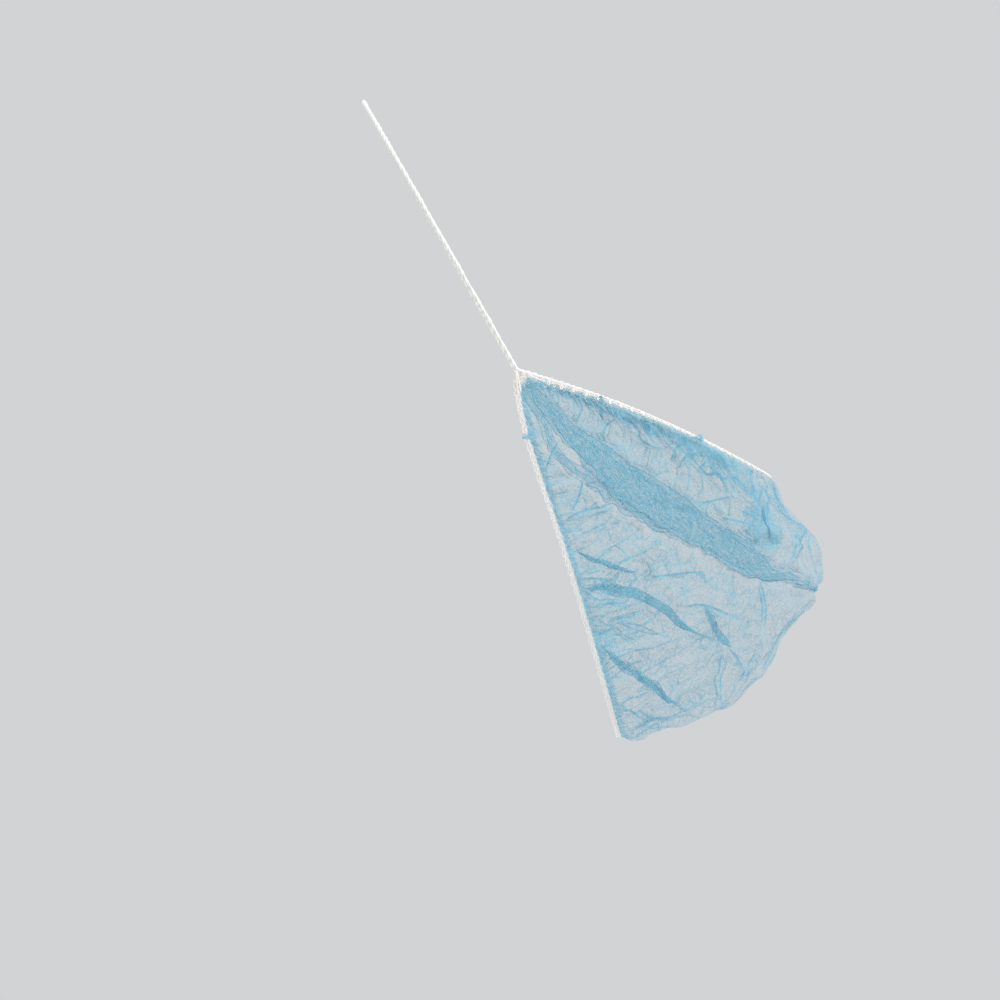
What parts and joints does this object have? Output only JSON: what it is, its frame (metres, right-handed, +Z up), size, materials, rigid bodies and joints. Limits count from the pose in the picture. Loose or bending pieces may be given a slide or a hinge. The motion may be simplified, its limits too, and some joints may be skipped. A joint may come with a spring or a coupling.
{
  "type": "beard cover",
  "caption": "Disposable beard cover in its worn form: a sheer pleated nonwoven pouch gathered onto white edge elastics, held by a thin elastic cord over the crown.",
  "frame": {"origin": "the point where the head loop sits on the crown, on the middle plane, at the cord's underside", "axes": "+Z up, the wearer faces -Y, +X is the wearer's left"},
  "size_m": [0.1522, 0.1811, 0.2506],
  "materials": {
    "nonwoven": "sheer spun-bond web, matte",
    "edge_elastic": "overlocked thread over elastic",
    "cord_elastic": "twisted covered elastic"
  },
  "bodies": {
    "root": {"pouch": "nonwoven", "upper_edge_elastic": "edge_elastic", "lower_edge_elastic": "edge_elastic", "head_loop": "cord_elastic"}
  },
  "joints": []
}
